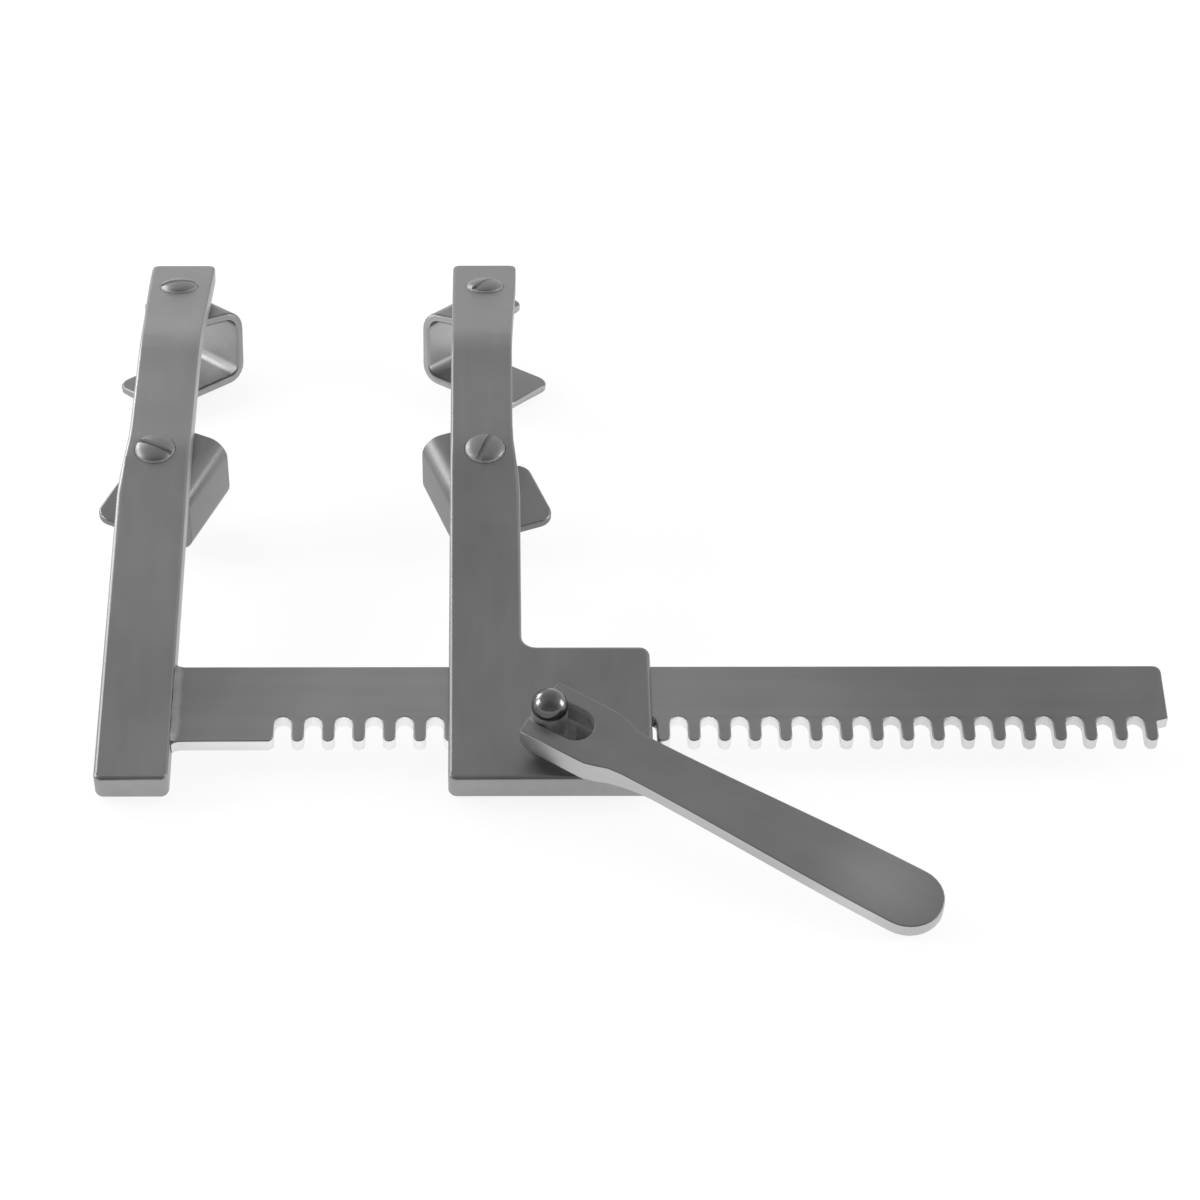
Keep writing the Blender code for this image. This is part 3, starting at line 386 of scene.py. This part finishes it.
def turned_steel(name, shaft, cap, roughness, polish, centre, axis):
    """Turned steel with tool lines round its axis, polished above the seam over its centre.

    The cap keeps its full tone on its crown, and painted shade darkens it down its steep sides.
    """
    material = bpy.data.materials.new(name)
    material.use_nodes = True
    tree = material.node_tree
    shader = tree.nodes["Principled BSDF"]
    shader.inputs["Metallic"].default_value = 1.0
    place = add_node(tree, "ShaderNodeTexCoord")
    near = add_node(tree, "ShaderNodeVectorMath",
                    {0: place.outputs["Object"], 1: tuple(centre)}, operation="SUBTRACT")
    upright = Vector(axis).rotation_difference(Vector((0.0, 0.0, 1.0)))
    level = add_node(tree, "ShaderNodeVectorRotate",
                     {"Vector": near.outputs[0], "Rotation": upright.to_euler()},
                     rotation_type="EULER_XYZ")
    lines = add_node(tree, "ShaderNodeTexWave",
                     {"Vector": level.outputs[0], "Scale": WAVE_RINGS / TOOL_LINE,
                      "Distortion": TOOL_WANDER}, wave_type="RINGS", rings_direction="Z")
    smears = add_node(tree, "ShaderNodeTexNoise",
                      {"Vector": level.outputs[0], "Scale": 1 / SMEAR, "Detail": 3.0})
    tone = add_node(tree, "ShaderNodeMapRange",
                    {"Value": smears.outputs[0],
                     "From Min": SMEAR_SPAN[0], "From Max": SMEAR_SPAN[1],
                     "To Min": SMEAR_TONES[0], "To Max": SMEAR_TONES[1]})
    parts = add_node(tree, "ShaderNodeSeparateXYZ", {0: level.outputs[0]})
    capped = add_node(tree, "ShaderNodeMapRange",
                      {"Value": parts.outputs["Z"],
                       "From Min": DOME_SEAM - POLISH_BLEND, "From Max": DOME_SEAM})
    crown = add_node(tree, "ShaderNodeVectorMath",
                     {0: place.outputs["Normal"], 1: tuple(axis)}, operation="DOT_PRODUCT")
    painted_side_shade = add_node(tree, "ShaderNodeMapRange",
                      {"Value": crown.outputs["Value"],
                       "From Min": CROWN_SPAN[0], "From Max": CROWN_SPAN[1],
                       "To Min": CROWN_TONES[0], "To Max": CROWN_TONES[1]},
                      interpolation_type="SMOOTHSTEP")
    polished = add_node(tree, "ShaderNodeVectorMath",
                        {0: linear(cap)[:3], "Scale": painted_side_shade.outputs[0]}, operation="SCALE")
    colour = add_node(tree, "ShaderNodeMix",
                      {0: capped.outputs[0], 6: linear(shaft), 7: polished.outputs[0]},
                      data_type="RGBA")
    body = add_node(tree, "ShaderNodeVectorMath",
                    {0: colour.outputs[2], "Scale": tone.outputs[0]}, operation="SCALE")
    tree.links.new(body.outputs[0], shader.inputs["Base Color"])
    dull = add_node(tree, "ShaderNodeMix", {0: capped.outputs[0], 2: roughness, 3: polish})
    smear = add_node(tree, "ShaderNodeMapRange",
                     {"Value": smears.outputs[0],
                      "From Min": SMEAR_SPAN[0], "From Max": SMEAR_SPAN[1],
                      "To Min": -SMEAR_GLOSS, "To Max": SMEAR_GLOSS})
    gloss = add_node(tree, "ShaderNodeMath", {0: dull.outputs[0], 1: smear.outputs[0]},
                     operation="ADD")
    tree.links.new(gloss.outputs[0], shader.inputs["Roughness"])
    bump = add_node(tree, "ShaderNodeBump",
                    {"Strength": TOOL_STRENGTH, "Distance": TOOL_DEPTH,
                     "Height": lines.outputs["Fac"]})
    tree.links.new(bump.outputs[0], shader.inputs["Normal"])
    return material


crank_centre = joints["crank_spin"]["pos_m"]
# The cap's dark tone and the shade down its sides are painted shade; the shaft below the seam has
# a lighter tone
post_steel = turned_steel("turned and polished stainless steel", "#c0c0c1", "#868687",
                          POST_ROUGHNESS, POST_POLISH, crank_centre, base_up)
pin_steel = turned_steel("ground pin steel", PIN_TONE, PIN_TONE,
                         PIN_ROUGHNESS, PIN_ROUGHNESS, crank_centre, base_up)
finish_node("crank_post", post_steel)
for name in ("crank_keeper", "drive_pin_1", "drive_pin_2"):
    finish_node(name, pin_steel)


# Folding handle
# A forged lever, blasted like the arms, with a fork that straddles the post and
# folds over it on a ground hinge pin. Its sides are painted lighter than its faces and
# its rims darker, as painted light and shade, the sides and underside inside the fork's
# slot get painted light, and a spot near its end is brighter. The ends of the pin are
# riveted and ground away flush with its sides.
HANDLE_ROUGHNESS = 0.40
SLOT_MIDDLE = 5.0 * MM      # the middle of the fork's slot, from the hinge pin along the handle
SLOT_REACH = 7.2 * MM
BRIGHT_SPOT_RUN = 77.0 * MM      # the middle of a brighter spot near the end, from the hinge pin
BRIGHT_SPOT_REACH = 16.0 * MM
BRIGHT_SPOT_GAIN = 1.45
HEAD_WIDTH = 14.9 * MM
PIN_END_DIAMETER = 3.3 * MM
PIN_END_DEPTH = 0.9 * MM
PIN_END_SINK = 0.04 * MM    # how far the ground end lies below the ear's side
PIN_END_SIDES = 32

handle_joint = joints["handle_fold"]
hinge = Vector(handle_joint["pos_m"])
fold_axis = Vector(handle_joint["axis"])
along_handle = base_up.cross(fold_axis)
# The light sides and dark rims are painted light and shade, and the fork's slot gets painted light
# inside
handle_steel = satin_steel("blasted steel, sides painted lighter",
                           "#a3a3a4", "#7c7c7d", "#bebebf", HANDLE_ROUGHNESS, base_up,
                           -atan2(along_handle.y, along_handle.x),
                           [(hinge + SLOT_MIDDLE * along_handle, SLOT_REACH)],
                           (hinge + BRIGHT_SPOT_RUN * along_handle, BRIGHT_SPOT_REACH, BRIGHT_SPOT_GAIN))
finish_node("crank_handle", handle_steel)
hinge_steel = turned_steel("ground hinge pin steel", PIN_TONE, PIN_TONE,
                           PIN_ROUGHNESS, PIN_ROUGHNESS, hinge, fold_axis)
finish_node("handle_hinge_pin", hinge_steel)

for i, hand in enumerate((-1.0, 1.0), 1):
    bm = bmesh.new()
    bmesh.ops.create_cone(bm, cap_ends=True, segments=PIN_END_SIDES, depth=PIN_END_DEPTH,
                          radius1=PIN_END_DIAMETER / 2, radius2=PIN_END_DIAMETER / 2)
    middle = HEAD_WIDTH / 2 - PIN_END_SINK - PIN_END_DEPTH / 2
    bmesh.ops.translate(bm, verts=bm.verts, vec=(0.0, 0.0, hand * middle))
    lie = Vector((0.0, 0.0, 1.0)).rotation_difference(fold_axis).to_matrix().to_4x4()
    bm.transform(Matrix.Translation(hinge) @ lie)
    mesh = bpy.data.meshes.new("hinge_pin_end_" + str(i))
    bm.to_mesh(mesh)
    bm.free()
    mesh.shade_smooth()
    mesh.set_sharp_from_angle(angle=SEAM_ANGLE)
    mesh.materials.append(handle_steel)
    pin_end = bpy.data.objects.new(mesh.name, mesh)
    bpy.context.scene.collection.objects.link(pin_end)
    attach(pin_end, "handle")


# Blades and their screws
# Four channels bent from stainless sheet, with the lines of the rolling mill still
# faint along them. Each swivels on a slotted screw, blasted like the arms, over a
# washer, and a round nut locks it under the flange.
# Each blade has its own face and side tones, painted light and shade for where it lies, and the
# darker rims are painted shade
SHEET_TONES = {"fixed_near": ("#a1a1a2", "#858586"), "fixed_far": ("#929293", "#9c9c9d"),
               "moving_near": ("#a1a1a2", "#7b7b7c"), "moving_far": ("#929293", "#aeaeaf")}
SHEET_RIM = "#8c8c8d"
SHEET_ROUGHNESS = 0.38
SCREW_ROUGHNESS = 0.46
HEAD_REACH = 4.8 * MM       # holds the screw head's side and slot, which get painted light

for name, (face, side) in SHEET_TONES.items():
    swivel = joints[name + "_swivel"]
    axis = Vector(swivel["axis"])
    spoken = name.replace("_", " ")
    sheet = satin_steel("bent stainless sheet, " + spoken, face, SHEET_RIM, side,
                        SHEET_ROUGHNESS, axis, pi / 2)
    finish_node(name + "_blade", sheet)
    head = Vector(swivel["pos_m"]) + SEAT_LEVEL * axis
    # The screws' face, rim and side tones are painted light and shade, and their heads' sides and
    # slots get painted light
    screw_steel = satin_steel("blasted screw steel, " + spoken, "#a3a3a4", "#989899", "#909091",
                              SCREW_ROUGHNESS, axis, 0.0, [(head, HEAD_REACH)])
    for kind in ("_screw", "_washer", "_nut"):
        finish_node(name + kind, screw_steel)


# Table
# A plain white table that the instrument rests on. It shows as white to the lens
# and in the steel, and keeps a soft shadow.
TABLE_HALF = 3.0
TABLE_WHITE = "#f4f4f4"
TABLE_SHADE = 0.35          # how much of the lamps' light it gives back
TABLE_ROUGHNESS = 0.9
TABLE_GLOW = 0.84

bm = bmesh.new()
corners = ((-1, -1), (1, -1), (1, 1), (-1, 1))
bm.faces.new([bm.verts.new((x * TABLE_HALF, y * TABLE_HALF, cad_low.z)) for x, y in corners])
mesh = bpy.data.meshes.new("table")
bm.to_mesh(mesh)
bm.free()
table = bpy.data.objects.new("table", mesh)
bpy.context.scene.collection.objects.link(table)
laminate = bpy.data.materials.new("matt white laminate")
laminate.use_nodes = True
tree = laminate.node_tree
shader = tree.nodes["Principled BSDF"]
white = [TABLE_SHADE * part for part in linear(TABLE_WHITE)[:3]]
shader.inputs["Base Color"].default_value = (*white, 1.0)
shader.inputs["Roughness"].default_value = TABLE_ROUGHNESS
shader.inputs["Specular IOR Level"].default_value = 0.0
ray = add_node(tree, "ShaderNodeLightPath")
seen = add_node(tree, "ShaderNodeMath",
                {0: ray.outputs["Is Camera Ray"], 1: ray.outputs["Is Glossy Ray"]},
                operation="ADD")
shown = add_node(tree, "ShaderNodeMath",
                 {0: seen.outputs[0], 1: ray.outputs["Is Transmission Ray"]},
                 operation="ADD", use_clamp=True)
glow = add_node(tree, "ShaderNodeMath", {0: shown.outputs[0], 1: TABLE_GLOW},
                operation="MULTIPLY")
shader.inputs["Emission Color"].default_value = (1.0, 1.0, 1.0, 1.0)
tree.links.new(glow.outputs[0], shader.inputs["Emission Strength"])
mesh.materials.append(laminate)


# Light
# A white tent round the table: bright near the horizon, dimmer overhead and in
# shade on the lens's side, with two soft lamps on the left and one on the right.
HORIZON = 0.80
OVERHEAD = 0.38
HEIGHT_SPAN = (0.1, 0.95)   # from the horizon's height to overhead, as the direction's Z
LENS_SIDE = 0.30
SHADE_SPAN = (-0.85, 0.1)   # from the lens's side to the rest, as the direction's Y
LAMP_SIZE = 0.30
LAMPS = {"left lamp": ((-0.60, 0.10, 0.22), 1.3),
         "left back lamp": ((-0.42, 0.50, 0.24), 1.1),
         "right lamp": ((0.80, 0.05, 0.18), 1.3)}

world = bpy.data.worlds.new("white tent")
bpy.context.scene.world = world
world.use_nodes = True
tree = world.node_tree
background = tree.nodes["Background"]
direction = add_node(tree, "ShaderNodeTexCoord")
parts = add_node(tree, "ShaderNodeSeparateXYZ", {0: direction.outputs["Generated"]})
height = add_node(tree, "ShaderNodeMapRange",
                  {"Value": parts.outputs["Z"],
                   "From Min": HEIGHT_SPAN[0], "From Max": HEIGHT_SPAN[1],
                   "To Min": HORIZON, "To Max": OVERHEAD})
shade = add_node(tree, "ShaderNodeMapRange",
                 {"Value": parts.outputs["Y"],
                  "From Min": SHADE_SPAN[0], "From Max": SHADE_SPAN[1],
                  "To Min": LENS_SIDE, "To Max": 1.0}, interpolation_type="SMOOTHSTEP")
tent = add_node(tree, "ShaderNodeMath", {0: height.outputs[0], 1: shade.outputs[0]},
                operation="MULTIPLY")
tree.links.new(tent.outputs[0], background.inputs["Color"])

target = (cad_low + cad_high) / 2
for name, (place, power) in LAMPS.items():
    lamp = bpy.data.lights.new(name, "AREA")
    lamp.energy = power
    lamp.size = LAMP_SIZE
    holder = bpy.data.objects.new(name, lamp)
    bpy.context.scene.collection.objects.link(holder)
    holder.location = place
    holder.rotation_mode = "QUATERNION"
    holder.rotation_quaternion = (target - holder.location).to_track_quat("-Z", "Y")


# Camera
# The photograph's own view: a long lens in front of the instrument, about 51
# degrees above the plane of its flat bases.
IMAGE = 1200
FOCAL = 3585.0              # in pixels of the image
OPTICAL_CENTRE = 486.9
SENSOR = 36.0
CAMERA_PLACE = Vector((80.1, -432.9, 593.6)) * MM
CAMERA_HEIGHT = radians(50.74)
CAMERA_YAW = radians(-0.02)
CAMERA_ROLL = radians(-0.06)

lens = bpy.data.cameras.new("camera")
lens.sensor_width = SENSOR
lens.lens = FOCAL / IMAGE * SENSOR
lens.shift_x = (IMAGE / 2 - OPTICAL_CENTRE) / IMAGE
camera = bpy.data.objects.new("camera", lens)
bpy.context.scene.collection.objects.link(camera)
turn = (Matrix.Rotation(CAMERA_YAW, 4, "Z") @ Matrix.Rotation(pi / 2 - CAMERA_HEIGHT, 4, "X")
        @ Matrix.Rotation(CAMERA_ROLL, 4, "Z"))
camera.matrix_world = leaned @ Matrix.Translation(CAMERA_PLACE) @ turn
bpy.context.scene.camera = camera
bpy.context.scene.view_settings.view_transform = "Standard"
